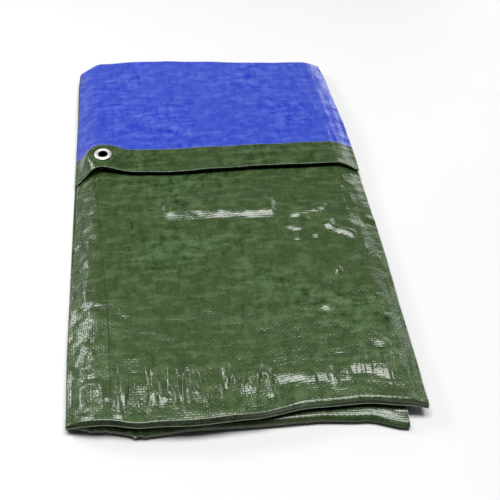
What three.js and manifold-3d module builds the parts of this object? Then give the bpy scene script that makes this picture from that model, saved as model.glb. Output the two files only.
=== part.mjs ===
// Folded tarpaulin lying on a flat surface, in millimetres, +Z up, +Y away from the front folds.
//
// The sheet is pleated lengthwise into a long strip of five plies. The strip is then folded back and
// forth into an oblong pack of five leaves. From the top down they are a short flap, whose free end
// carries the end hem and its corner eyelet, and four leaves of the pack's full length. The leaves lie
// a little apart. The pack is puffed in the middle, falls away at its two long sides, and its two front
// folds are shifted against each other.

import * as THREE from 'three';
import { mergeVertices } from 'three/addons/utils/BufferGeometryUtils.js';
import Module from 'manifold-3d';

// The strip and its leaves
const STRIP_THICK = 4.2;
const LEAF_PITCH = 6.9;
const FLAP_END = 57;
const LAST_END = 285;
const FRONT = -352;
const BACK = 345;
const STEPS_ALONG = 16;
const STEPS_ACROSS = 24;
const FOLD_STEPS = 5;

// The pack's crown and its long sides. The shoulder's rounding is a share of the fall after it, and the
// crown's drop towards the sides is a share of its height.
const HALF_WIDTH = 196;
const SHOULDER_IN = 24;
const SHOULDER_ROUND = 0.35;
const SIDE_FALL = 28;
const CROWN_DROP = 0.07;
const FOLD_REACH = 170;
const FLAP_REACH = 160;
const FLAP_OVERHANG = 3.5;
const FLAP_LIFT = 3;

// The end hem and its eyelet, which is tilted by a few degrees towards the front
const FIT_GAP = 0.3;
const HEM_WIDTH = 51;
const HEM_THICK = 1.2;
const HEM_STEPS = 6;
const HEM_OFF_FLAP = 0.5;
const EYELET = {
  x: -157, y: 93, rise: 2.4, tilt: 3, held: 18,
  hole: 12.8, barrel: 14.2, flange: 24, back: 22.5, metal: 0.9, rim: 0.5, crown: 1.5, sides: 36,
};

// How high the leaves stand on each part of the pack, as a share of their free height: at the crown
// and at the outermost edges of the two long sides
const RISES = [
  { y: -352, left: 0.34, crown: 1.08, right: 0.74 },
  { y: -240, left: 0.32, crown: 1.04, right: 0.58 },
  { y: -60, left: 0.31, crown: 1.00, right: 0.55 },
  { y: 57, left: 0.29, crown: 1.00, right: 0.57 },
  { y: 160, left: 0.40, crown: 1.01, right: 0.72 },
  { y: 345, left: 0.38, crown: 0.90, right: 0.45 },
];

// The long sides' outlines: of the leaves down to the upper front fold, and of the two below them
const SIDES = [
  { y: -352, left: -194, right: 195, lowLeft: -195, lowRight: 171 },
  { y: -240, left: -196, right: 199, lowLeft: -197, lowRight: 179 },
  { y: -60, left: -193, right: 204, lowLeft: -197, lowRight: 190 },
  { y: 57, left: -193, right: 204, lowLeft: -197, lowRight: 196 },
  { y: 300, left: -197, right: 201, lowLeft: -197, lowRight: 201 },
  { y: 345, left: -196, right: 197, lowLeft: -196, lowRight: 197 },
];

// The ends' outlines across the pack: the upper and the lower front fold, those at the back, and the
// flap's free end
const ENDS = [
  { x: -200, upper: -344, lower: -341, back: 344, flap: 58 },
  { x: -160, upper: -350, lower: -351, back: 353, flap: 68 },
  { x: -110, upper: -357, lower: -361, back: 356, flap: 57 },
  { x: -60, upper: -360, lower: -359, back: 355, flap: 54 },
  { x: 0, upper: -357, lower: -359, back: 350, flap: 57 },
  { x: 70, upper: -348, lower: -358, back: 345, flap: 60 },
  { x: 125, upper: -347, lower: -362, back: 343, flap: 61 },
  { x: 171, upper: -353, lower: -374, back: 343, flap: 62 },
  { x: 205, upper: -357, lower: -376, back: 344, flap: 56 },
];

// Places where the leaves are pressed down or stand up, as a share of their height
const BUCKLES = [
  { x: 184, y: -48, wide: 9, long: 14, height: -0.2 },
  { x: 168, y: -66, wide: 14, long: 12, height: 0.09 },
  { x: -118, y: -345, wide: 20, long: 26, height: -0.1 },
  { x: -60, y: -345, wide: 30, long: 24, height: 0.05 },
  { x: 70, y: -330, wide: 60, long: 30, height: -0.07 },
  { x: -182, y: -125, wide: 10, long: 30, height: 0.1 },
];

const { lerp, smoothstep, degToRad } = THREE.MathUtils;

const FOLD_RADIUS = (LEAF_PITCH + STRIP_THICK) / 2;
const FRONT_BEND = FRONT + FOLD_RADIUS;
const BACK_BEND = BACK - FOLD_RADIUS;
const HEM_BACK = FLAP_END + HEM_WIDTH;
const MIDDLE = STRIP_THICK / 2 + 1.5 * LEAF_PITCH;
const FLAP_BOTTOM = 4 * LEAF_PITCH;
const FLAP_TOP = FLAP_BOTTOM + STRIP_THICK;
const SECOND_TOP = FLAP_TOP - LEAF_PITCH;

// A column of a table, read at a place between its rows and eased from one row to the next.
function read(table, key, at, column) {
  const next = table.findIndex((row) => row[key] > at);
  if (next === 0) return table[0][column];
  if (next < 0) return table[table.length - 1][column];
  const [low, high] = [table[next - 1], table[next]];
  return lerp(low[column], high[column], smoothstep(at, low[key], high[key]));
}

// Nothing before the shoulder and a straight slope after it, with a round corner between.
function slopeAfterShoulder(share) {
  const into = share + SHOULDER_ROUND;
  if (into <= 0) return 0;
  return into < 2 * SHOULDER_ROUND ? into ** 2 / (4 * SHOULDER_ROUND) : share;
}

// The share of their free height that the leaves reach over one place of the floor.
function riseAt(x, y) {
  const side = x < 0 ? 'left' : 'right';
  const shoulder = Math.abs(read(SIDES, 'y', y, side)) - SHOULDER_IN;
  const crown = read(RISES, 'y', y, 'crown') * (1 - CROWN_DROP * (x / HALF_WIDTH) ** 2);
  const fall = slopeAfterShoulder((Math.abs(x) - shoulder) / SIDE_FALL);
  const buckled = BUCKLES.reduce((sum, { x: bx, y: by, wide, long, height }) => (
    sum + height * Math.exp(-(((x - bx) / wide) ** 2) - ((y - by) / long) ** 2)
  ), 1);
  return lerp(crown, read(RISES, 'y', y, side), Math.min(fall, 1)) * buckled;
}

// How far the flap stands off the leaf below it around the eyelet.
function flapLift(x, y) {
  const across = Math.exp(-(((x - EYELET.x) / SHOULDER_IN) ** 2));
  return FLAP_LIFT * across * (1 - smoothstep(y, FLAP_END, FLAP_END + FLAP_REACH));
}

// Where a point of the straight, even pack lies in the real one. The outlines of the sides and ends
// shift it in plan, and the height of the pack at that place scales it upwards.
function settle(point) {
  const { y, z } = point;
  const low = z < MIDDLE;
  const onFlap = z > (FLAP_BOTTOM + SECOND_TOP) / 2;
  const nearFlapEnd = onFlap ? 1 - smoothstep(y, FLAP_END, FLAP_END + FLAP_REACH) : 0;
  const left = read(SIDES, 'y', y, low ? 'lowLeft' : 'left') - FLAP_OVERHANG * nearFlapEnd;
  const right = read(SIDES, 'y', y, low ? 'lowRight' : 'right') + FLAP_OVERHANG / 2 * nearFlapEnd;
  point.x = lerp(left, right, (point.x / HALF_WIDTH + 1) / 2);

  const nearFront = 1 - smoothstep(y, FRONT, FRONT + FOLD_REACH);
  const nearBack = smoothstep(y, BACK - FOLD_REACH / 2, BACK);
  point.y = y
    + nearFront * (read(ENDS, 'x', point.x, low ? 'lower' : 'upper') - FRONT)
    + nearBack * (read(ENDS, 'x', point.x, 'back') - BACK)
    + nearFlapEnd * (read(ENDS, 'x', point.x, 'flap') - FLAP_END);

  point.z = z * riseAt(point.x, point.y) + (onFlap ? flapLift(point.x, point.y) : 0);
}

// The eyelet's middle, on the underside of the hem, and the plane in which its flanges hold the hem.
const eyeletSeat = new THREE.Vector3(
  EYELET.x,
  EYELET.y,
  FLAP_TOP * riseAt(EYELET.x, EYELET.y) + flapLift(EYELET.x, EYELET.y) + HEM_OFF_FLAP + EYELET.rise,
);
const heldHeight = (y) => eyeletSeat.z + (y - eyeletSeat.y) * Math.tan(degToRad(EYELET.tilt));

// The end hem lies on the flap, apart from the place where the eyelet holds it.
function settleHem(point) {
  const through = point.z;
  point.z = FLAP_TOP;
  settle(point);
  const onFlap = point.z + HEM_OFF_FLAP;
  const away = Math.hypot(point.x - eyeletSeat.x, point.y - eyeletSeat.y);
  const held = 1 - smoothstep(away, EYELET.held, 2 * EYELET.held);
  point.z = lerp(onFlap, Math.max(heldHeight(point.y), onFlap), held) + through;
}

const hemPlaces = Array.from({ length: HEM_STEPS + 1 }, (_, i) => (
  lerp(FLAP_END, HEM_BACK, i / HEM_STEPS)
));
const leafPlaces = Array.from({ length: STEPS_ALONG + 1 }, (_, i) => (
  lerp(FRONT_BEND, BACK_BEND, i / STEPS_ALONG)
));

// The places along a leaf at which it can bend. Every leaf has the same ones, so that all bend alike,
// and the flap has the hem's as well.
function placesAlong(leaf, from, to) {
  const places = leaf === 0
    ? [...hemPlaces, ...leafPlaces.filter((y) => y > HEM_BACK + HEM_WIDTH / HEM_STEPS)]
    : leafPlaces;
  const inside = places.filter((y) => y > Math.min(from, to) && y < Math.max(from, to));
  return [from, ...(from < to ? inside : inside.reverse()), to];
}

// The strip's middle line through its five leaves and four folds, in the YZ plane. It starts at the
// flap's free end, and each place on it has the direction of the face that is the flap's top.
function stripRun() {
  const ends = [FLAP_END, BACK_BEND, FRONT_BEND, BACK_BEND, FRONT_BEND, LAST_END];
  const leaves = ends.length - 1;
  const run = [];
  for (let leaf = 0; leaf < leaves; leaf += 1) {
    const up = leaf % 2 === 0 ? 1 : -1;
    const level = STRIP_THICK / 2 + (leaves - 1 - leaf) * LEAF_PITCH;
    const [from, to] = [ends[leaf], ends[leaf + 1]];
    placesAlong(leaf, from, to).forEach((y) => {
      run.push({ place: new THREE.Vector2(y, level), face: new THREE.Vector2(0, up) });
    });
    const folds = leaf < leaves - 1 ? FOLD_STEPS : 0;
    for (let i = 1; i < folds; i += 1) {
      const turn = Math.PI * i / folds;
      const out = new THREE.Vector2(Math.sign(to) * Math.sin(turn), Math.cos(turn));
      const place = new THREE.Vector2(to, level - LEAF_PITCH / 2).addScaledVector(out, LEAF_PITCH / 2);
      run.push({ place, face: out.multiplyScalar(up) });
    }
  }
  return run;
}

// The hem's middle line, from its free edge back: the flap's end turned over onto its own face.
const hemRun = hemPlaces.map((y) => ({
  place: new THREE.Vector2(y, HEM_THICK / 2), face: new THREE.Vector2(0, 1),
}));

// A flat slab with a step for each place of a run, wrapped along the run and settled. Its steps across
// lie closer together towards the sides.
function wrapSlab(run, thickness, settlePoint) {
  const slab = new THREE.BoxGeometry(2, 2, 2, STEPS_ACROSS, run.length - 1, 1);
  const corners = slab.attributes.position;
  const point = new THREE.Vector3();
  for (let i = 0; i < corners.count; i += 1) {
    const { place, face } = run[Math.round((corners.getY(i) + 1) / 2 * (run.length - 1))];
    const off = corners.getZ(i) * thickness / 2;
    point.x = Math.sin(corners.getX(i) * Math.PI / 2) * HALF_WIDTH;
    point.y = place.x + face.x * off;
    point.z = place.y + face.y * off;
    settlePoint(point);
    corners.setXYZ(i, point.x, point.y, point.z);
  }
  return slab;
}

// The eyelet is one ring of metal: a barrel through the hem, with a crowned flange on its face and a
// flat one behind. Heights are above the hem's underside.
function eyeletRing() {
  const { hole, barrel, flange, back, metal, rim, crown, sides } = EYELET;
  const bore = hole / 2;
  const face = HEM_THICK + FIT_GAP;
  const profile = [
    [bore, -FIT_GAP - metal],
    [back / 2, -FIT_GAP - metal],
    [back / 2, -FIT_GAP],
    [barrel / 2, -FIT_GAP],
    [barrel / 2, face],
    [flange / 2, face],
    [flange / 2, face + rim],
    [flange / 2 - metal, face + metal],
    [(barrel + flange) / 4, face + crown],
    [bore + metal, face + metal],
    [bore, face],
    [bore, -FIT_GAP - metal],
  ];
  return new THREE.LatheGeometry(profile.map(([r, z]) => new THREE.Vector2(r, z)), sides);
}

// From the lathe's own axis, Y, to the hem's plane at the eyelet.
const eyeletPlace = new THREE.Matrix4()
  .makeTranslation(eyeletSeat.x, eyeletSeat.y, eyeletSeat.z)
  .multiply(new THREE.Matrix4().makeRotationX(Math.PI / 2 + degToRad(EYELET.tilt)));

const WELD = 1e-3;
const wasm = await Module();
wasm.setup();

// A closed mesh as a solid that can be cut, and back again
function solidOf(geometry) {
  const bare = geometry.clone();
  bare.deleteAttribute('normal');
  bare.deleteAttribute('uv');
  const merged = mergeVertices(bare, WELD);
  return new wasm.Manifold(new wasm.Mesh({
    numProp: 3,
    vertProperties: new Float32Array(merged.attributes.position.array),
    triVerts: new Uint32Array(merged.index.array),
  }));
}

function geometryOf(solid) {
  const mesh = solid.getMesh();
  const geometry = new THREE.BufferGeometry();
  geometry.setAttribute('position', new THREE.BufferAttribute(new Float32Array(mesh.vertProperties), 3));
  geometry.setIndex(new THREE.BufferAttribute(new Uint32Array(mesh.triVerts), 1));
  return geometry;
}

// A plug through the hem, as wide as the eyelet's barrel and its clearance.
function holePlug() {
  const radius = EYELET.barrel / 2 + FIT_GAP;
  return new THREE.CylinderGeometry(radius, radius, EYELET.barrel, EYELET.sides);
}

const greenFilm = new THREE.MeshStandardMaterial({ color: 0x3f5a35, roughness: 0.32, metalness: 0 });
const hemFilm = new THREE.MeshStandardMaterial({ color: 0x3a4f31, roughness: 0.36, metalness: 0 });
const eyeletMetal = new THREE.MeshStandardMaterial({ color: 0xc9cbcc, roughness: 0.28, metalness: 1 });

function piece(name, geometry, material) {
  geometry.computeVertexNormals();
  const mesh = new THREE.Mesh(geometry, material);
  mesh.name = name;
  return mesh;
}

const tarp = piece('tarp', wrapSlab(stripRun(), STRIP_THICK, settle), greenFilm);

const band = solidOf(wrapSlab(hemRun, HEM_THICK, settleHem));
const plug = solidOf(holePlug().applyMatrix4(eyeletPlace));
const endHem = piece('end_hem', geometryOf(band.subtract(plug)), hemFilm);

const eyelet = piece('corner_eyelet', eyeletRing().applyMatrix4(eyeletPlace), eyeletMetal);

const foldedTarp = new THREE.Group();
foldedTarp.add(tarp, endHem, eyelet);

// The origin is under the pack's middle, on the floor.
const bounds = new THREE.Box3().setFromObject(foldedTarp);
const middle = bounds.getCenter(new THREE.Vector3());
foldedTarp.position.set(-middle.x, -middle.y, -bounds.min.z);

export default foldedTarp;
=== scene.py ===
import math

import bmesh
import bpy
import numpy as np
from mathutils import Matrix, Vector, noise


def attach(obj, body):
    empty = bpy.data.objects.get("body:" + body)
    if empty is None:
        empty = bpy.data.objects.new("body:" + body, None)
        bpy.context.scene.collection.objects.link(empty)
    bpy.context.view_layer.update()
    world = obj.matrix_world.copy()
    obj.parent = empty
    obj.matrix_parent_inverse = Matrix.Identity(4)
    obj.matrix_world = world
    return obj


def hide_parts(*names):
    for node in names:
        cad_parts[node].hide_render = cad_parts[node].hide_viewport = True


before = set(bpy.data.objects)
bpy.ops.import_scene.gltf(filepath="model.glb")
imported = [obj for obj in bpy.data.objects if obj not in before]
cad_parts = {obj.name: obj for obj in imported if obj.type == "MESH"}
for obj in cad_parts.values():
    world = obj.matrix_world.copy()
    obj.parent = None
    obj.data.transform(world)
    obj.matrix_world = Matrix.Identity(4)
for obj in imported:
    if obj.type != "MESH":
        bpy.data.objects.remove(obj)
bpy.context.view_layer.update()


# The flap: the short top leaf of the folded tarpaulin, of tape-woven polyethylene with a blue and a
# green film. Its end is turned over by a hand's breadth and welded down as a green hem, and five plies
# of it lie on each other, because the sheet is pleated lengthwise before it is folded back and forth.
# All sizes are in millimetres from the pack's own middle, and a sheet's points become metres at the end.
MM = 0.001
PACK_AT = (-4.375, 9.075)
FILM_THICK = 0.2
PLIES = 5
PLY_OFFS = (2.1, 0.9, 0.0, -0.9, -2.1)
SPREAD_AT_SIDES = 1.3
LOOP_OUT = 0.9
LOOP_STEPS = 4
EDGE_INSETS = (0.8, 1.2, 2.4, 2.2, 0.0, -0.6)
EDGE_WAVE = dict(share=0.6, long=43)
CLOSER_AT_SIDES = 0.25

STRIP_THICK = 4.2
LEAF_PITCH = 6.9
LEAF_LEVELS = [STRIP_THICK / 2 + LEAF_PITCH * leaf for leaf in (4, 3, 2, 1, 0)]
FRONT, BACK = -352, 345
FOLD_RADIUS = (LEAF_PITCH + STRIP_THICK) / 2
FRONT_BEND, BACK_BEND = FRONT + FOLD_RADIUS, BACK - FOLD_RADIUS
FLAP_END = 57
LAST_END = 285
HEM_WIDTH = 51
LOW_LEAVES = STRIP_THICK / 2 + 1.5 * LEAF_PITCH
FLAP_LEAF = 4 * LEAF_PITCH - 1.35
FLAP_TOP = 4 * LEAF_PITCH + STRIP_THICK

HALF_WIDTH = 196
SHOULDER_IN = 24
SHOULDER_ROUND = 0.35
SIDE_FALL = 28
CROWN_DROP = 0.07
FOLD_REACH = 170
FLAP_REACH = 160
FLAP_OVERHANG = 3.5
FLAP_LIFT = 3

# How high the leaves reach at places along the pack, as shares of their free height.
RISES = [
    dict(y=-352, left=0.34, crown=1.08, right=0.74),
    dict(y=-240, left=0.32, crown=1.04, right=0.58),
    dict(y=-60, left=0.31, crown=1.00, right=0.55),
    dict(y=57, left=0.29, crown=1.00, right=0.57),
    dict(y=160, left=0.40, crown=1.01, right=0.72),
    dict(y=345, left=0.38, crown=0.90, right=0.45),
]
# Where the sides lie at places along the pack, for the upper and for the lower leaves.
SIDES = [
    dict(y=-352, left=-194, right=195, low_left=-195, low_right=171),
    dict(y=-240, left=-196, right=199, low_left=-197, low_right=179),
    dict(y=-60, left=-193, right=204, low_left=-197, low_right=190),
    dict(y=57, left=-193, right=204, low_left=-197, low_right=196),
    dict(y=300, left=-197, right=201, low_left=-197, low_right=201),
    dict(y=345, left=-196, right=197, low_left=-196, low_right=197),
]
# Where the folds and the flap's free end lie at places across the pack.
ENDS = [
    dict(x=-200, upper=-344, lower=-341, back=344, flap=58),
    dict(x=-160, upper=-350, lower=-351, back=353, flap=68),
    dict(x=-110, upper=-357, lower=-361, back=356, flap=57),
    dict(x=-60, upper=-360, lower=-359, back=355, flap=54),
    dict(x=0, upper=-357, lower=-359, back=350, flap=57),
    dict(x=70, upper=-348, lower=-358, back=345, flap=60),
    dict(x=125, upper=-347, lower=-362, back=343, flap=61),
    dict(x=171, upper=-353, lower=-374, back=343, flap=62),
    dict(x=205, upper=-357, lower=-376, back=344, flap=56),
]
# Places where the whole pack is raised or sunken by a share of its height.
BUCKLES = [
    dict(x=184, y=-48, wide=9, long=14, height=-0.2),
    dict(x=168, y=-66, wide=14, long=12, height=0.09),
    dict(x=-118, y=-345, wide=20, long=26, height=-0.1),
    dict(x=-60, y=-345, wide=30, long=24, height=0.05),
    dict(x=70, y=-330, wide=60, long=30, height=-0.07),
    dict(x=-182, y=-125, wide=10, long=30, height=0.1),
]
EYELET = dict(x=-157, y=93, rise=2.4, tilt=3, held=18)
HEM_THICK = 1.2
HEM_OFF_FLAP = 0.5
HEM_WELDED = 0.35
HEM_ROUND = 1.3
# How pale the hem's edge rows are made: wear, and a painted highlight where the turned edges catch light.
HEM_WEAR_AND_HIGHLIGHT = 0.72
HEM_ON_EYELET = dict(share=0.8, gap=0.15)
PLY_TUCK = 4
EYELET_HOLE = 9
HIDDEN_SHARE = 0.35
HIDDEN_DROP = 0.15
HIDDEN_DRAWN_IN = 0.6
HOLLOW_UNDER_EYELET = dict(deep=3.4, wide=17)


def smoothly(share):
    share = np.clip(share, 0, 1)
    return share * share * (3 - 2 * share)


def mix(low, high, share):
    return low + (high - low) * share


def read(table, key, at, column):
    """A column of a table at some places between its rows, eased from one row to the next."""
    places = np.array([row[key] for row in table], float)
    values = np.array([row[column] for row in table], float)
    row = np.clip(np.searchsorted(places, at, side="right") - 1, 0, len(places) - 2)
    return mix(values[row], values[row + 1], smoothly((at - places[row]) / (places[row + 1] - places[row])))


def slope_after_shoulder(share):
    into = np.maximum(share + SHOULDER_ROUND, 0)
    return np.where(into < 2 * SHOULDER_ROUND, into ** 2 / (4 * SHOULDER_ROUND), share)


def rise_at(x, y):
    """The share of their free height that the leaves reach over one place of the floor."""
    left = x < 0
    outline = np.where(left, read(SIDES, "y", y, "left"), read(SIDES, "y", y, "right"))
    crown = read(RISES, "y", y, "crown") * (1 - CROWN_DROP * (x / HALF_WIDTH) ** 2)
    edge = np.where(left, read(RISES, "y", y, "left"), read(RISES, "y", y, "right"))
    fall = slope_after_shoulder((np.abs(x) - (np.abs(outline) - SHOULDER_IN)) / SIDE_FALL)
    buckled = 1
    for b in BUCKLES:
        away = ((x - b["x"]) / b["wide"]) ** 2 + ((y - b["y"]) / b["long"]) ** 2
        buckled = buckled + b["height"] * np.exp(-away)
    return mix(crown, edge, np.minimum(fall, 1)) * buckled


def flap_lift(x, y):
    across = np.exp(-(((x - EYELET["x"]) / SHOULDER_IN) ** 2))
    return FLAP_LIFT * across * (1 - smoothly((y - FLAP_END) / FLAP_REACH))


def settle(x, y, z):
    """Where points of the straight, even pack lie in the real one, whose outlines and height vary."""
    low = z < LOW_LEAVES
    on_flap = z > FLAP_LEAF
    flap_end = np.where(on_flap, 1 - smoothly((y - FLAP_END) / FLAP_REACH), 0)
    left = np.where(low, read(SIDES, "y", y, "low_left"), read(SIDES, "y", y, "left"))
    right = np.where(low, read(SIDES, "y", y, "low_right"), read(SIDES, "y", y, "right"))
    left = left - FLAP_OVERHANG * flap_end
    right = right + FLAP_OVERHANG / 2 * flap_end
    x = mix(left, right, (x / HALF_WIDTH + 1) / 2)
    near_front = 1 - smoothly((y - FRONT) / FOLD_REACH)
    near_back = smoothly((y - (BACK - FOLD_REACH / 2)) / (FOLD_REACH / 2))
    front = np.where(low, read(ENDS, "x", x, "lower"), read(ENDS, "x", x, "upper"))
    y = (
        y
        + near_front * (front - FRONT)
        + near_back * (read(ENDS, "x", x, "back") - BACK)
        + flap_end * (read(ENDS, "x", x, "flap") - FLAP_END)
    )
    return x, y, z * rise_at(x, y) + np.where(on_flap, flap_lift(x, y), 0)


def near_line(x, y, points):
    """How far places are from a line through some points."""
    nearest = np.full(np.broadcast(x, y).shape, np.inf)
    for (x0, y0), (x1, y1) in zip(points, points[1:]):
        long = (x1 - x0) ** 2 + (y1 - y0) ** 2
        along = np.clip(((x - x0) * (x1 - x0) + (y - y0) * (y1 - y0)) / long, 0, 1)
        nearest = np.minimum(nearest, np.hypot(x - x0 - along * (x1 - x0), y - y0 - along * (y1 - y0)))
    return nearest


RIDGE_BLUNT = 0.04


def creased(x, y, creases):
    """The height of some creases, each a ridge, or a trough where its height is less than nothing."""
    height = 0
    for height_there, wide, *points in creases:
        share = near_line(x, y, points) / wide
        ridge = 1 + RIDGE_BLUNT / 2 - np.sqrt(share ** 2 + RIDGE_BLUNT)
        height = height + height_there * np.maximum(ridge, 0)
    return height


def crumpled(x, y, high, long_x, long_y, seed):
    """Soft uneven waves up to a height each way, with a length along each side."""
    wave = np.empty(np.broadcast(x, y).shape)
    for place in np.ndindex(wave.shape):
        wave[place] = high * noise.noise(Vector((x[place] / long_x, y[place] / long_y, seed)))
    return wave


# Each crease has its height, its half width and the points that it runs through.
FLAP_CREASES = [
    (-0.8, 6, (165, 337), (165, 237), (174, 189), (178, 116), (178, 66)),
    (0.7, 5, (160, 337), (159, 237), (167, 189), (171, 116)),
    (-0.6, 5, (-176, 276), (-173, 191), (-175, 117)),
    (0.8, 6, (-132, 245), (-120, 250), (-105, 246)),
    (-0.8, 6, (-128, 239), (-113, 229), (-99, 220), (-87, 219)),
    (1.1, 6, (-145, 145), (-133, 154)),
    (0.9, 5, (-114, 147), (-104, 146)),
    (0.8, 5, (148, 112), (159, 121)),
    (0.9, 5, (-173, 123), (-185, 107), (-194, 93)),
    (0.8, 4, (-167, 109), (-179, 95), (-187, 82)),
    (0.6, 4, (-117, 78), (-111, 78)),
]
FLAP_SEAM = ((-136, 348), (-139, 269), (-142, 185), (-143, 118), (-143, 57))
CRINKLED_LEFT, CRINKLED_RIGHT = -160, 158
CRINKLE_EASE = 14
FLAP_SWELL = dict(high=0.8, long_x=44, long_y=20, seed=7.5)
FLAP_RIPPLE = dict(high=0.45, long_x=19, long_y=10, seed=9.5)
FLAP_LEFT = dict(high=0.9, long_x=9, long_y=8, seed=3.5)
FLAP_RIGHT = dict(high=0.8, long_x=8, long_y=46, seed=5.5)
FLAP_FADES_BELOW = 2


def flap_relief(x, y, z):
    soft = crumpled(x, y, **FLAP_SWELL) + crumpled(x, y, **FLAP_RIPPLE)
    left = smoothly((CRINKLED_LEFT - x) / CRINKLE_EASE) * crumpled(x, y, **FLAP_LEFT)
    right = smoothly((x - CRINKLED_RIGHT) / CRINKLE_EASE) * crumpled(x, y, **FLAP_RIGHT)
    depth = np.maximum(FLAP_TOP - z, 0)
    shown = np.where(z > FLAP_LEAF, np.exp(-depth / FLAP_FADES_BELOW), 0)
    return (creased(x, y, FLAP_CREASES) + soft + left + right) * shown


def no_rounding(x, turn):
    return 0


def evenly_round(x):
    return 2 + 0 * x


EYELET_SEAT = (
    EYELET["x"],
    EYELET["y"],
    float(
        FLAP_TOP * rise_at(np.array(EYELET["x"]), np.array(EYELET["y"]))
        + flap_lift(EYELET["x"], EYELET["y"])
        + HEM_OFF_FLAP
        + EYELET["rise"]
    ),
)


def row_at(y, z, face=(0, 1), over=0, wear_and_highlight=0, turn=0, middle=None):
    """A row of a sheet across the pack, from its place and the way that its first ply faces."""
    middle_y, middle_z = middle or (y, z)
    return dict(
        y=y, z=z, face_y=face[0], face_z=face[1], over=over, wear_and_highlight=wear_and_highlight, turn=turn,
        middle_y=middle_y, middle_z=middle_z,
    )


def rows_of_leaf(leaf, along):
    up = 1 if leaf % 2 == 0 else -1
    return [row_at(y, LEAF_LEVELS[leaf], (0, up)) for y in along]


def rows_of_fold(leaf, turns):
    """Rows round the fold after a leaf, at the back after an even leaf and at the front after an odd."""
    up = 1 if leaf % 2 == 0 else -1
    bend = BACK_BEND if up > 0 else FRONT_BEND
    middle = (bend, LEAF_LEVELS[leaf] - LEAF_PITCH / 2)
    rows = []
    for turn in turns:
        out_y, out_z = up * math.sin(turn), math.cos(turn)
        rows.append(row_at(
            middle[0] + out_y * LEAF_PITCH / 2, middle[1] + out_z * LEAF_PITCH / 2,
            (up * out_y, up * out_z), turn=turn, middle=middle,
        ))
    return rows


def even_turns(steps):
    return [math.pi * step / steps for step in range(1, steps)]


def rows_of_hem(steps, round_steps):
    """Rows of the turned-over end, from its welded edge to the flap's free end and round it."""
    rows = []
    for step in range(steps + 1):
        share = step / steps
        over = HEM_WELDED + (HEM_ROUND - HEM_WELDED) * share ** 2
        wear_and_highlight = HEM_WEAR_AND_HIGHLIGHT if step == 0 else 0
        rows.append(row_at(FLAP_END + HEM_WIDTH * (1 - share), LEAF_LEVELS[0], (0, 1), over, wear_and_highlight))
    for step in range(1, round_steps):
        turn = math.pi * step / round_steps
        over = HEM_ROUND / 2 * (1 + math.cos(turn))
        wear_and_highlight = HEM_WEAR_AND_HIGHLIGHT if step == 1 else 0
        rows.append(row_at(FLAP_END - HEM_ROUND / 2 * math.sin(turn), LEAF_LEVELS[0], (0, 1), over, wear_and_highlight))
    return rows


def columns_across(steps):
    """Columns of a sheet from the first ply's free edge to the last ply's, round the loops at the sides."""
    columns = []
    for ply in range(PLIES):
        side = 1 if ply % 2 == 0 else -1
        for step in range(steps[ply] + 1):
            share = side * (2 * step / steps[ply] - 1)
            share += CLOSER_AT_SIDES * math.sin(math.pi * share) / math.pi
            inset = EDGE_INSETS[ply + 1] if share * side > 0 else EDGE_INSETS[ply]
            columns.append(dict(
                share=share, off=PLY_OFFS[ply], out=0, inset=inset, blue_x=0, blue_z=side, ply=ply,
            ))
        if ply == PLIES - 1:
            break
        middle = (PLY_OFFS[ply] + PLY_OFFS[ply + 1]) / 2
        radius = (PLY_OFFS[ply] - PLY_OFFS[ply + 1]) / 2
        for step in range(1, LOOP_STEPS):
            turn = math.pi * step / LOOP_STEPS
            columns.append(dict(
                share=side, off=middle + radius * math.cos(turn), out=side * math.sin(turn),
                inset=EDGE_INSETS[ply + 1], blue_x=math.sin(turn), blue_z=side * math.cos(turn),
                ply=ply + step / LOOP_STEPS,
            ))
    return columns


def table_of(entries, keys, axis):
    return [np.expand_dims(np.array([entry[key] for entry in entries], float), axis) for key in keys]


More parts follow.
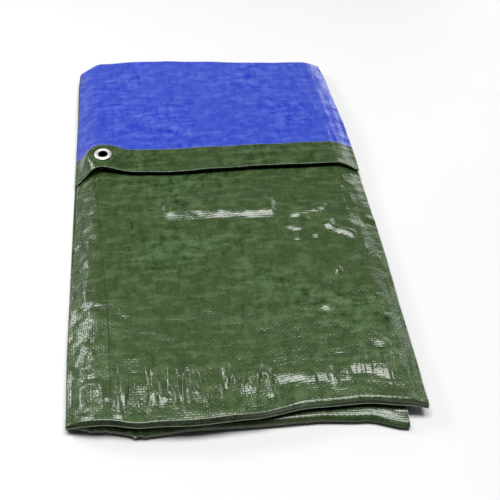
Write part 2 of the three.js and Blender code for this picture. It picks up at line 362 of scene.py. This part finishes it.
def laid(rows, columns, relief, rounding, squareness):
    """The points of a sheet in the pack and how far it is pinched there, as arrays of rows by columns."""
    y, z, face_y, face_z, over, turn, middle_y, middle_z = table_of(
        rows, ("y", "z", "face_y", "face_z", "over", "turn", "middle_y", "middle_z"), 1
    )
    share, off, out, inset, blue_x, blue_z, ply = table_of(
        columns, ("share", "off", "out", "inset", "blue_x", "blue_z", "ply"), 0
    )
    first = np.where(ply == 0, smoothly((1 - share) / 0.1), 0)
    over = over * mix(HEM_WELDED / HEM_ROUND, 1, first)
    spread = mix(1, SPREAD_AT_SIDES, np.abs(share) ** 8)
    tucked = 1 - smoothly((y - FLAP_END) / FLAP_REACH * 4)
    uneven = inset * (1 + EDGE_WAVE["share"] * np.sin(y / EDGE_WAVE["long"] + inset))
    flat_x = HALF_WIDTH * share + LOOP_OUT * out + over * blue_x
    flat_x = flat_x - np.sign(share) * uneven * np.abs(share) ** 12
    drawn_in = rounding(flat_x, turn)
    outer = ply > PLIES - 1.5
    pinched = np.where(outer, np.maximum(-drawn_in, 0), 0)
    drawn_in = np.where(outer, drawn_in, np.maximum(drawn_in, 0) * HIDDEN_DRAWN_IN)
    raised = off * spread + over * blue_z + drawn_in
    sharp = squareness(flat_x)
    square = (np.abs(np.sin(turn)) ** sharp + np.abs(np.cos(turn)) ** sharp) ** (-1 / sharp)
    flat_y = mix(middle_y, y + face_y * raised, square)
    flat_z = mix(middle_z, z + face_z * raised, square)
    on_flap = flat_z > FLAP_LEAF
    flat_y = flat_y + np.where(on_flap, tucked * PLY_TUCK * smoothly(ply), 0)
    x, y, z = settle(flat_x, flat_y, flat_z)

    away = np.hypot(x - EYELET_SEAT[0], y - EYELET_SEAT[1])
    held = (1 - smoothly(away / EYELET["held"] - 1)) * first * on_flap
    seat = EYELET_SEAT[2] + (y - EYELET_SEAT[1]) * math.tan(math.radians(EYELET["tilt"]))
    lifted = seat + np.minimum(over, HEM_THICK) * HEM_ON_EYELET["share"] + HEM_ON_EYELET["gap"]
    z = mix(z, np.maximum(lifted, z), held)
    raised = relief(x, y, flat_z) * (1 - held)
    hidden = (ply > 0.5) & (ply < PLIES - 1.5)
    z = z + np.where(hidden, np.minimum(raised, raised * HIDDEN_SHARE) - HIDDEN_DROP, raised)
    hollow = HOLLOW_UNDER_EYELET["deep"] * np.exp(-((away / HOLLOW_UNDER_EYELET["wide"]) ** 4))
    return x, y, z - hollow * on_flap * smoothly(ply), np.broadcast_to(pinched, z.shape)


def off_seam(x, y, seam):
    """How far places lie to the right of a lengthwise seam."""
    seam = sorted(seam, key=lambda point: point[1])
    return x - np.interp(y, [point[1] for point in seam], [point[0] for point in seam])


# Where the outer ply is pinched out past this, its film is made pale: a painted highlight on the lip and
# the nipped crinkles.
HIGHLIGHT_WHEN_PINCHED = 0.7
GATHERED = dict(y=-313, wide=24, left=1, right=0.3, from_x=-165, less_from_x=-10)


def gathered_at(x, y):
    """How much the sheet is gathered in short upright wrinkles, which is most at the left of its front."""
    share = mix(GATHERED["left"], GATHERED["right"], smoothly((x - GATHERED["less_from_x"]) / 60))
    share = share * smoothly((x - GATHERED["from_x"]) / 20)
    return share * np.exp(-(((y - GATHERED["y"]) / GATHERED["wide"]) ** 2))


FAR_FROM_SEAM = 50


def sheet_mesh(
    name, rows, columns, relief, seam, seam_ply,
    rounding=no_rounding, squareness=evenly_round, punched=False,
):
    """A sheet with a row and a column for each that is given, in the pack, with both its films."""
    sheet = bmesh.new()
    wide, long = len(columns) - 1, len(rows) - 1
    bmesh.ops.create_grid(sheet, x_segments=wide, y_segments=long, size=1)
    x, y, z, pinched = laid(rows, columns, relief, rounding, squareness)
    # Painted highlight: pale colour where the outer ply is pinched out, along the worn rows and on the last
    # free edge.
    pinch_highlight = np.clip((pinched - HIGHLIGHT_WHEN_PINCHED) * 2, 0, 1)
    off = off_seam(x, y, seam)
    points = np.stack([x + PACK_AT[0], y + PACK_AT[1], z], axis=-1) * MM
    length = np.linalg.norm(np.diff(points[:, wide // 2], axis=0), axis=1)
    width = np.linalg.norm(np.diff(points[long // 2], axis=0), axis=1)
    run = np.concatenate([[0], np.cumsum(length)])
    across = np.concatenate([[0], np.cumsum(width)])
    cut = sheet.loops.layers.uv.new("cut")
    wear_and_highlight = sheet.verts.layers.float.new("wear_and_highlight")
    from_seam = sheet.verts.layers.float.new("from_seam")
    gathered = sheet.verts.layers.float.new("gathered")
    gathers = gathered_at(x, y)
    centre = Vector(EYELET_SEAT).xy
    pierced = set()
    for corner in sheet.verts:
        column = round((corner.co.x + 1) / 2 * wide)
        row = round((corner.co.y + 1) / 2 * long)
        for loop in corner.link_loops:
            loop[cut].uv = across[column], run[row]
        corner.co = points[row, column]
        corner[wear_and_highlight] = max(pinch_highlight[row, column], 1 if column == wide else rows[row]["wear_and_highlight"])
        corner[gathered] = gathers[row, column]
        corner[from_seam] = off[row, column] if columns[column]["ply"] == seam_ply else FAR_FROM_SEAM
        away = Vector((x[row, column], y[row, column])) - centre
        if punched and columns[column]["ply"] == 0 and rows[row]["z"] == LEAF_LEVELS[0]:
            if away.length < EYELET_HOLE:
                pierced.add(corner)
    bmesh.ops.delete(sheet, geom=list(pierced), context="VERTS")
    for face in sheet.faces:
        face.smooth = True
    mesh = bpy.data.meshes.new(name)
    sheet.to_mesh(mesh)
    sheet.free()
    piece = bpy.data.objects.new(name, mesh)
    bpy.context.scene.collection.objects.link(piece)
    mesh.materials.append(blue_film)
    mesh.materials.append(green_film)
    films = piece.modifiers.new("films", "SOLIDIFY")
    films.thickness = FILM_THICK * MM
    films.offset = -1
    films.material_offset = 1
    both = bpy.data.meshes.new_from_object(piece.evaluated_get(bpy.context.evaluated_depsgraph_get()))
    piece.modifiers.clear()
    piece.data = both
    bpy.data.meshes.remove(mesh)
    both.name = name
    both.set_sharp_from_angle(angle=math.radians(60))
    return piece, (float(across[-1]), float(run[-1]))


def places(start, stop, step):
    return list(np.linspace(start, stop, max(2, round(abs(stop - start) / step) + 1)))


class Socket:
    """A socket of a material, on which sums and products add Math nodes."""

    def __init__(self, tree, end):
        self.tree, self.end = tree, end

    def maths(self, operation, *others):
        ends = [other.end if isinstance(other, Socket) else other for other in (self, *others)]
        return node(self.tree, "ShaderNodeMath", dict(operation=operation), dict(enumerate(ends)))

    def clamped(self, low=0, high=1):
        return self.maths("MAXIMUM", low).maths("MINIMUM", high)

    def __abs__(self):
        return self.maths("ABSOLUTE")

    def __add__(self, other):
        return self.maths("ADD", other)

    def __mul__(self, other):
        return self.maths("MULTIPLY", other)

    def __sub__(self, other):
        return self.maths("SUBTRACT", other)

    def __rsub__(self, other):
        return self * -1 + other

    __radd__, __rmul__ = __add__, __mul__


def node(tree, kind, settings=None, inputs=None, output=0):
    """A new node with its settings and then its inputs, which are values or links."""
    made = tree.nodes.new(kind)
    for name, value in (settings or {}).items():
        setattr(made, name, value)
    for name, value in (inputs or {}).items():
        end = value.end if isinstance(value, Socket) else value
        if isinstance(end, bpy.types.NodeSocket):
            tree.links.new(end, made.inputs[name])
        else:
            made.inputs[name].default_value = end
    return Socket(tree, made.outputs[output])


def blend(tree, share, first, second):
    """A colour between two, which are values or sockets."""
    ends = [colour if isinstance(colour, Socket) else (*colour, 1) for colour in (first, second)]
    return node(tree, "ShaderNodeMix", dict(data_type="RGBA"), {0: share, 6: ends[0], 7: ends[1]}, 2)


# Below, a length along the cut sheet is in metres, and a length off its seam in millimetres.
TAPE = 0.003
WEAVE_HIGH = 0.00019
WRINKLE_HIGH = 0.0016
CRINKLE_HIGH = 0.00018
SEAM_HIGH = 0.0004
GATHER_HIGH = 0.006
WRINKLE_SCALE = 62
PATCH_SCALE = 9
CRINKLE_SCALE = 190
PAINTED_LIGHT_AT = 0.5
NICK = dict(off_seam=41.5, along=0.247, half_long=0.009)
BLUE = dict(
    shade=(0.009, 0.023, 0.32), tint=(0.066, 0.106, 0.43), faded=(0.037, 0.064, 0.36),
    edge=(0.17, 0.20, 0.42), gloss=0.13, nicked=0,
)
GREEN = dict(
    shade=(0.011, 0.029, 0.006), tint=(0.069, 0.113, 0.047), faded=(0.040, 0.061, 0.022),
    edge=(0.30, 0.33, 0.28), gloss=0.13, nicked=1,
)


def woven_film(name, shade, tint, faded, edge, gloss, nicked):
    """Woven tapes under a clear film: a fine chequer of tapes, soft wrinkles and a broken gloss, with
    painted shade, light and highlights in its colour.
    """
    film = bpy.data.materials.new(name)
    film.use_nodes = True
    tree = film.node_tree
    shader = tree.nodes["Principled BSDF"]
    cut = node(tree, "ShaderNodeUVMap", dict(uv_map="cut"))
    flat = tree.nodes.new("ShaderNodeSeparateXYZ")
    tree.links.new(cut.end, flat.inputs[0])
    across, along = Socket(tree, flat.outputs[0]), Socket(tree, flat.outputs[1])
    weft = (across * (math.pi / TAPE)).maths("SINE")
    warp = (along * (math.pi / TAPE)).maths("SINE")
    weave = abs(weft * warp).maths("POWER", 0.6) * 0.6 + weft * warp * 0.2
    wear_and_highlight = node(tree, "ShaderNodeAttribute", dict(attribute_name="wear_and_highlight"), None, 2)
    from_seam = node(tree, "ShaderNodeAttribute", dict(attribute_name="from_seam"), None, 2)
    gathered = node(tree, "ShaderNodeAttribute", dict(attribute_name="gathered"), None, 2)

    def noise_at(vector, scale, detail, distortion):
        return node(
            tree, "ShaderNodeTexNoise", None,
            dict(Vector=vector, Scale=scale, Detail=detail, Roughness=0.55, Distortion=distortion),
        )

    lying = node(tree, "ShaderNodeMapping", None, dict(Vector=cut, Scale=(0.62, 1.5, 1)))
    leaning = node(
        tree, "ShaderNodeMapping", None, dict(Vector=cut, Rotation=(0, 0, 0.35), Scale=(1.6, 0.6, 1)),
    )
    upright = node(tree, "ShaderNodeMapping", None, dict(Vector=cut, Scale=(1.35, 0.3, 1)))
    cloud = noise_at(lying, WRINKLE_SCALE, 5, 0.25)
    streak = noise_at(leaning, WRINKLE_SCALE, 5, 0.25)
    soft_cloud = noise_at(lying, WRINKLE_SCALE, 1, 0.25)
    soft_streak = noise_at(leaning, WRINKLE_SCALE, 1, 0.25)
    swell = soft_cloud * 0.6 + soft_streak * 0.4
    gathers = (noise_at(upright, WRINKLE_SCALE, 1, 0.1) * 4 - 1.9).clamped() * gathered
    patch = noise_at(cut, PATCH_SCALE, 2, 0)
    fine = noise_at(cut, CRINKLE_SCALE, 3, 0.3)
    wrinkle = cloud * 0.6 + streak * 0.4
    # Painted shade: thin dark lines along the creases of the wrinkles.
    line = 1 - (abs(cloud - 0.5) * 16).clamped()
    painted_crease_shade = line * (patch * 3 - 1).clamped() * 0.45
    # Painted light: each piece is lighter about half a metre along its cut length, which puts the top
    # leaf's lightest band near the pack's front, and darker toward its ends.
    painted_front_light = (0.25 - abs(along - PAINTED_LIGHT_AT)).clamped(-0.25, 0.25) * 0.5
    # Partly the film's random tone and weave, partly painted shade of the wrinkles, on the same noise as
    # their bump.
    tone_and_wrinkle_shade = (wrinkle * 3.8 + fine * 0.9 + weave * 0.35 + painted_front_light - 1.97 - painted_crease_shade).clamped()
    colour = blend(tree, tone_and_wrinkle_shade, shade, tint)
    colour = blend(tree, (patch * 3 - 1.1).clamped(0, 0.5), colour, faded)
    nick = (2.4 - abs(from_seam - NICK["off_seam"]) * 1.8).clamped() * nicked
    nick = nick * ((NICK["half_long"] - abs(along - NICK["along"])) * 700).clamped()
    # Painted shade: a thin dark line along the step of the welded seam. The nick is a dark mark on the
    # green film itself.
    groove = ((1 - abs(from_seam) * 1.1).clamped() * 0.55).maths("MAXIMUM", nick)
    colour = blend(tree, groove, colour, shade)
    # Wear and painted highlights: the hem edges, the fold's lip, nipped crinkles and the last free edge are
    # made pale.
    colour = blend(tree, (wear_and_highlight * 2.4 - 1.2).clamped(0, 0.8), colour, edge)
    tree.links.new(colour.end, shader.inputs["Base Color"])
    rough = fine * 0.10 + gloss
    tree.links.new(rough.end, shader.inputs["Roughness"])
    doubled = (0.5 - from_seam * 0.8).clamped()
    normal = None
    for height, high in (
        (swell, WRINKLE_HIGH), (gathers, GATHER_HIGH), (fine, CRINKLE_HIGH), (doubled, SEAM_HIGH),
        (weave, WEAVE_HIGH),
    ):
        inputs = dict(Strength=1, Distance=high, Height=height)
        if normal:
            inputs["Normal"] = normal
        normal = node(tree, "ShaderNodeBump", None, inputs)
    tree.links.new(normal.end, shader.inputs["Normal"])
    return film


blue_film = woven_film("blue_film", **BLUE)
green_film = woven_film("green_film", **GREEN)


def finish_sheet(piece):
    """What every piece of the sheet shares: its body, and the imported tarp hidden in its place."""
    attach(piece, "root")
    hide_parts("tarp")


FLAP_JOIN = 200
FLAP_JOIN_STEP = 12
flap_rows = (
    rows_of_hem(20, 5)
    + rows_of_leaf(0, places(FLAP_END, FLAP_END + HEM_WIDTH, 2.5))
    + rows_of_leaf(0, places(FLAP_END + HEM_WIDTH, BACK_BEND, 2.6)[1:])
    + rows_of_fold(0, even_turns(12))
    + rows_of_leaf(1, places(BACK_BEND, FLAP_JOIN, FLAP_JOIN_STEP))
)
flap, flap_size = sheet_mesh(
    "flap", flap_rows, columns_across((130, 30, 8, 8, 8)), flap_relief, FLAP_SEAM, 0, punched=True,
)
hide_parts("end_hem")
finish_sheet(flap)


# The upper fold: the two leaves under the flap, folded at the front. Their last ply is the green top of
# the pack, with the wrinkles, dents and lengthwise welds that its gloss shows.
LEAF_CREASES = [
    (0.7, 9, (-191, 29), (-169, 22), (-164, 2)),
    (1.0, 8, (-164, 0), (-121, -9), (-78, -12), (-28, -14), (53, -18), (148, -21)),
    (-0.8, 5, (-169, 6), (-121, 2), (-78, -3)),
    (0.8, 4, (-148, -63), (-142, -91), (-138, -113), (-140, -127)),
    (0.8, 4, (-110, -71), (-102, -94), (-95, -113), (-87, -136), (-86, -148)),
    (1.5, 7, (-165, -180), (-159, -183), (-150, -184), (-143, -183), (-136, -190), (-131, -204)),
    (1.8, 11, (-184, -150), (-176, -180), (-171, -195)),
    (-3.0, 24, (-172, -200), (-171, -328)),
    (-1.0, 6, (-169, 66), (-168, 37)),
    (-1.1, 2.6, (-120, -33), (-122, -53)),
    (-1.2, 6, (166, 55), (170, 25), (172, -4), (174, -36), (174, -59), (174, -75)),
    (-1.8, 9, (184, -31), (200, -37)),
    (1.6, 9, (174, -46), (184, -49), (202, -52)),
    (2.7, 7, (171, 18), (179, 25), (185, 20)),
    (3.6, 9, (95, -38), (110, -33), (135, -27)),
    (3.7, 9, (85, -60), (98, -68), (108, -52)),
    (2.3, 6, (91, -87), (102, -78)),
    (3.4, 8, (117, -81), (128, -66), (140, -56)),
    (3.4, 8, (139, -65), (148, -72), (165, -82)),
    (3.4, 8, (178, -112), (164, -122), (152, -131), (140, -144), (133, -150)),
    (3.0, 7, (133, -150), (122, -165), (112, -195), (107, -208)),
    (-0.9, 5, (120, -174), (112, -193)),
    (1.3, 4, (95, -184), (103, -179)),
    (1.4, 5, (166, -194), (181, -196)),
    (1.2, 4, (191, -124), (196, -141), (199, -149), (201, -170)),
    (1.5, 6, (178, -229), (180, -247), (183, -264), (181, -280)),
    (2.0, 9, (151, -258), (158, -264), (166, -272), (171, -286)),
    (2.7, 13, (98, -314), (109, -305), (124, -298), (144, -298), (157, -308)),
    (1.6, 8, (138, -306), (148, -290), (158, -287), (157, -300)),
    (1.0, 12, (-121, -306), (-94, -306), (-67, -313), (-46, -316), (-35, -312), (-2, -310), (18, -303)),
    (2.1, 11, (30, -306), (52, -306), (70, -307), (94, -309)),
    (1.4, 5, (17, -328), (28, -303)),
    (1.0, 4, (-118, -308), (-118, -333)),
    (0.9, 4, (-91, -309), (-88, -329)),
    (0.9, 4, (-81, -306), (-84, -330)),
    (1.0, 5, (-39, -331), (-28, -318)),
    (0.8, 4, (-131, -312), (-135, -321)),
    (0.8, 4, (-51, -322), (-49, -333)),
    (0.9, 4, (-140, -346), (-129, -340)),
    (1.1, 5, (-66, -288), (-57, -285)),
    (1.0, 5, (-133, -270), (-119, -270)),
    (1.3, 5, (-187, -267), (-175, -236)),
    (1.2, 5, (-179, -269), (-172, -244)),
    (1.2, 4, (-170, -273), (-168, -256)),
    (1.0, 4, (-162, -273), (-166, -262)),
    (1.7, 7, (-182, -277), (-163, -277)),
    (1.9, 8, (-180, -325), (-180, -304), (-169, -299), (-157, -306), (-154, -320), (-161, -331),
     (-174, -335)),
    (-1.2, 6, (-173, -321), (-165, -317)),
]
LEAF_SEAM = ((-169, 75), (-169, 55), (-163, -17), (-160, -78), (-155, -135), (-152, -177), (-149, -231),
             (-147, -325), (-146, -400))
LEAF_HIDDEN_FROM = 80
LEAF_HIDDEN_EASE = 60
LEAF_FADES_BELOW = 7
LEAF_SWELL = dict(high=0.8, long_x=58, long_y=25, seed=1.5)
LEAF_RIPPLE = dict(high=0.45, long_x=22, long_y=12, seed=4.5)
LEAF_LEFT = dict(high=1.5, long_x=10, long_y=14, seed=3.5)
LEAF_RIGHT = dict(high=0.8, long_x=8, long_y=30, seed=5.5)
LEAF_RIGHT_EASE = 20
LEAF_GATHERS = dict(high=0.9, long_x=9, long_y=50, seed=6.5)
SHELF = dict(left=-82, right=74, ease=10, y=-28, lean=-0.045, back=40, front=14, height=4.3)
SHELF_UNEVEN = dict(high=0.45, long_x=8, long_y=26, seed=8.5)


def shelf(x, y):
    """A long low step down toward the front, where the top ply lies over a fold of the plies below."""
    behind = y - (SHELF["y"] + SHELF["lean"] * x)
    gentle = np.exp(-((behind / SHELF["back"]) ** 2))
    steep = np.maximum(1 + behind / SHELF["front"], 0)
    uneven = 1 + crumpled(x, y, **SHELF_UNEVEN)
    ends = smoothly((x - SHELF["left"]) / SHELF["ease"]) * smoothly((SHELF["right"] - x) / SHELF["ease"])
    return SHELF["height"] * uneven * np.where(behind > 0, gentle, steep) * ends


def leaf_relief(x, y, z):
    soft = crumpled(x, y, **LEAF_SWELL) + crumpled(x, y, **LEAF_RIPPLE)
    left = smoothly((CRINKLED_LEFT - x) / CRINKLE_EASE) * crumpled(x, y, **LEAF_LEFT)
    right = smoothly((x - CRINKLED_RIGHT) / LEAF_RIGHT_EASE) * crumpled(x, y, **LEAF_RIGHT)
    gathers = gathered_at(x, y) * crumpled(x, y, **LEAF_GATHERS)
    shown = 1 - smoothly((y - LEAF_HIDDEN_FROM) / LEAF_HIDDEN_EASE)
    depth = np.maximum(LEAF_LEVELS[1] + STRIP_THICK / 2 - z, 0)
    whole = creased(x, y, LEAF_CREASES) + shelf(x, y) + soft + left + right + gathers
    return whole * shown * np.exp(-depth / LEAF_FADES_BELOW)


# How far the front fold is drawn in at turns round it, or pinched out where it is less than nothing.
LIPS = [
    dict(turn=0.00, left=0.0, right=0.0),
    dict(turn=0.80, left=0.0, right=-0.3),
    dict(turn=0.92, left=1.2, right=-0.3),
    dict(turn=1.30, left=1.4, right=0.0),
    dict(turn=1.66, left=0.4, right=0.2),
    dict(turn=1.75, left=-0.1, right=0.0),
    dict(turn=1.83, left=-1.7, right=-1.4),
    dict(turn=1.93, left=1.6, right=1.4),
    dict(turn=2.50, left=2.2, right=2.0),
    dict(turn=3.20, left=0.0, right=0.0),
]


LEFT_ENDS_AT = -30
LEFT_EASE = 90
SQUARE, ROUND = 16, 2.1


def lips(x, turn):
    """The front fold has a nipped edge over a groove at its left, and a low lip all along."""
    turns = [lip["turn"] for lip in LIPS]
    left = np.interp(turn, turns, [lip["left"] for lip in LIPS])
    right = np.interp(turn, turns, [lip["right"] for lip in LIPS])
    return mix(left, right, smoothly((x - LEFT_ENDS_AT) / LEFT_EASE))


def squarer_at_left(x):
    return mix(SQUARE, ROUND, smoothly((x - LEFT_ENDS_AT) / LEFT_EASE))


UPPER_JOIN = 0
SHOWN_FROM = 75
HIDDEN_STEP = 24
LIP_TURNS = [0.14, 0.28, 0.42, *places(0.55, 2.05, 0.055), 2.25, 2.5, 2.75, 3.0]
upper_rows = (
    rows_of_leaf(1, places(FLAP_JOIN, SHOWN_FROM, FLAP_JOIN_STEP)[:-1])
    + rows_of_leaf(1, places(SHOWN_FROM, FRONT_BEND, 2.8))
    + rows_of_fold(1, LIP_TURNS)
    + rows_of_leaf(2, places(FRONT_BEND, UPPER_JOIN, HIDDEN_STEP))
)
upper_fold, upper_size = sheet_mesh(
    "upper_fold", upper_rows, columns_across((8, 8, 8, 34, 156)), leaf_relief, LEAF_SEAM, PLIES - 1,
    lips, squarer_at_left,
)
finish_sheet(upper_fold)


# The lower fold: the rest of the sheet, whose last leaf lies on the floor. Its front fold is rounder and
# shifted to the left, and crinkled where it is nipped at its left end.
# Each nip has its depth, its half width and its points, as places across and lengths round the fold.
NIPS = [
    (1.0, 2.6, (-124, 4), (-119, 9)),
    (1.0, 2.6, (-119, 9), (-112, 5)),
    (1.0, 2.6, (-119, 9), (-120, 15)),
    (1.15, 3.5, (-109, 3), (-104, 14)),
    (1.1, 2.6, (-150, 5), (-146, 9)),
    (1.1, 2.6, (-160, 4), (-157, 9)),
    (1.1, 2.6, (-170, 6), (-168, 10)),
]


def nipped(x, turn):
    return -creased(x, turn * FOLD_RADIUS, NIPS)


SLOPE_AT_RIGHT = dict(share=0.16, y=-350, left=50, left_ease=60, right=176, right_ease=14, above=4)


def lower_relief(x, y, z):
    """The lower fold's own relief, with its top falling gently to its front edge at the right."""
    slope = SLOPE_AT_RIGHT
    into = smoothly((x - slope["left"]) / slope["left_ease"])
    out = smoothly((slope["right"] - x) / slope["right_ease"])
    on_top = smoothly((z - slope["above"]) / 5)
    return leaf_relief(x, y, z) - slope["share"] * np.maximum(slope["y"] - y, 0) * into * out * on_top


LOWER_SHOWN_TO = -280
FLOOR_SHOWN_TO = -310
LOWER_STEP = 4
lower_rows = (
    rows_of_leaf(2, places(UPPER_JOIN, BACK_BEND, HIDDEN_STEP))
    + rows_of_fold(2, even_turns(10))
    + rows_of_leaf(3, places(BACK_BEND, LOWER_SHOWN_TO, HIDDEN_STEP)[:-1])
    + rows_of_leaf(3, places(LOWER_SHOWN_TO, FRONT_BEND, LOWER_STEP))
    + rows_of_fold(3, even_turns(32))
    + rows_of_leaf(4, places(FRONT_BEND, FLOOR_SHOWN_TO, LOWER_STEP)[:-1])
    + rows_of_leaf(4, places(FLOOR_SHOWN_TO, LAST_END, HIDDEN_STEP))
)
lower_fold, lower_size = sheet_mesh(
    "lower_fold", lower_rows, columns_across((8, 8, 8, 24, 220)), lower_relief, LEAF_SEAM, PLIES - 1,
    nipped,
)
finish_sheet(lower_fold)


# The corner eyelet: a pressed aluminium ring whose barrel goes through the hem and is closed over a
# washer behind it. It is bright on its flange and speckled by handling, and painted near black as shade
# within its bore.
EYELET_BORE = 6.6


def pressed_metal():
    metal = bpy.data.materials.new("pressed_aluminium")
    metal.use_nodes = True
    tree = metal.node_tree
    shader = tree.nodes["Principled BSDF"]
    place = node(tree, "ShaderNodeTexCoord", None, None, 3)
    centre = [(seat + shift) * MM for seat, shift in zip(EYELET_SEAT, (*PACK_AT, 0))]
    from_centre = node(tree, "ShaderNodeVectorMath", dict(operation="SUBTRACT"), {0: place, 1: centre})
    flat = node(tree, "ShaderNodeVectorMath", dict(operation="MULTIPLY"), {0: from_centre, 1: (1, 1, 0)})
    away = node(tree, "ShaderNodeVectorMath", dict(operation="LENGTH"), {0: flat}, 1)
    speckle = node(tree, "ShaderNodeTexNoise", None, dict(Vector=place, Scale=900, Detail=3))
    # Painted shade: within the bore the metal is made a near-black non-metal.
    painted_bore_shade = ((EYELET_BORE + 0.4) * MM - away).maths("MULTIPLY", 2500).clamped()
    flange = blend(tree, speckle, (0.44, 0.44, 0.425), (0.56, 0.555, 0.535))
    colour = blend(tree, painted_bore_shade, flange, (0.012, 0.012, 0.012))
    tree.links.new(colour.end, shader.inputs["Base Color"])
    tree.links.new((speckle * 0.2 + 0.32).end, shader.inputs["Roughness"])
    tree.links.new((0.5 - painted_bore_shade * 0.5).end, shader.inputs["Metallic"])
    dented = node(tree, "ShaderNodeBump", None, dict(Strength=0.4, Distance=0.0002, Height=speckle))
    tree.links.new(dented.end, shader.inputs["Normal"])
    return metal


eyelet = bpy.data.objects["corner_eyelet"]
for slot in eyelet.material_slots:
    slot.material = pressed_metal()


# The table, the studio's light and the camera, which stands at the front and looks down at the pack.
TABLE_SIZE = 4
table_top = bpy.data.materials.new("white_table")
table_top.use_nodes = True
top_tree = table_top.node_tree
top_speckle = node(top_tree, "ShaderNodeTexNoise", None, dict(Scale=30, Detail=2))
top_colour = blend(top_tree, top_speckle, (0.56, 0.56, 0.56), (0.58, 0.58, 0.58))
top_tree.links.new(top_colour.end, top_tree.nodes["Principled BSDF"].inputs["Base Color"])
top_tree.nodes["Principled BSDF"].inputs["Roughness"].default_value = 0.5
floor_mesh = bpy.data.meshes.new("floor")
floor = bpy.data.objects.new("floor", floor_mesh)
build = bmesh.new()
bmesh.ops.create_grid(build, x_segments=1, y_segments=1, size=TABLE_SIZE)
build.to_mesh(floor_mesh)
build.free()
floor_mesh.materials.append(table_top)
bpy.context.scene.collection.objects.link(floor)

world = bpy.data.worlds.new("studio")
world.use_nodes = True
sky = world.node_tree
toward = node(sky, "ShaderNodeTexCoord")
ways = sky.nodes.new("ShaderNodeSeparateXYZ")
sky.links.new(toward.end, ways.inputs[0])
way_x, way_y, way_z = (Socket(sky, end) for end in ways.outputs)
sides = way_x * way_x * (0.25 - way_z).maths("MAXIMUM", 0) * 2.0
far_wall = way_y.maths("MAXIMUM", 0) * (0.55 - way_z).maths("MAXIMUM", 0) * 0.6
glow = sides + far_wall + 0.06
sky.links.new(glow.end, sky.nodes["Background"].inputs["Strength"])
sky.nodes["Background"].inputs["Color"].default_value = (1, 1, 1, 1)
bpy.context.scene.world = world
bpy.context.scene.view_settings.view_transform = "Standard"


def softbox(name, place, aim, size, power):
    lamp = bpy.data.lights.new(name, "AREA")
    lamp.shape = "RECTANGLE"
    lamp.size, lamp.size_y = size
    lamp.energy = power
    box = bpy.data.objects.new(name, lamp)
    box.location = place
    box.rotation_euler = (Vector(aim) - Vector(place)).to_track_quat("-Z", "Y").to_euler()
    bpy.context.scene.collection.objects.link(box)


softbox("overhead", (0.1, 0.08, 3.2), (0.1, 0.08, 0), (3.0, 1.4), 175)
softbox("left_panel", (-1.09, 0.635, 0.914), (-0.17, -0.32, 0), (0.45, 0.45), 9)
softbox("right_panel", (1.29, 0.64, 0.67), (0.17, -0.3, 0), (0.25, 0.3), 1.2)
softbox("far_right_panel", (1.3, 1.8, 0.44), (0.19, 0.2, 0), (0.6, 0.5), 3.4)

HEADING = math.radians(8.85)
PITCH = math.radians(43.15)
ROLL = math.radians(3.1)
FOCAL_LENGTH = 61.7
CAMERA_AT = (-0.098375, -0.880925, 0.770)
ahead = Vector((
    math.cos(PITCH) * math.sin(HEADING), math.cos(PITCH) * math.cos(HEADING), -math.sin(PITCH),
))
level = Vector((math.cos(HEADING), -math.sin(HEADING), 0))
upright = level.cross(ahead)
across = level * math.cos(ROLL) + upright * math.sin(ROLL)
above = upright * math.cos(ROLL) - level * math.sin(ROLL)
lens = bpy.data.cameras.new("camera")
lens.sensor_width = 36
lens.lens = FOCAL_LENGTH
camera = bpy.data.objects.new("camera", lens)
turned = Matrix((across, above, -ahead)).transposed().to_4x4()
camera.matrix_world = Matrix.Translation(CAMERA_AT) @ turned
bpy.context.scene.collection.objects.link(camera)
bpy.context.scene.camera = camera
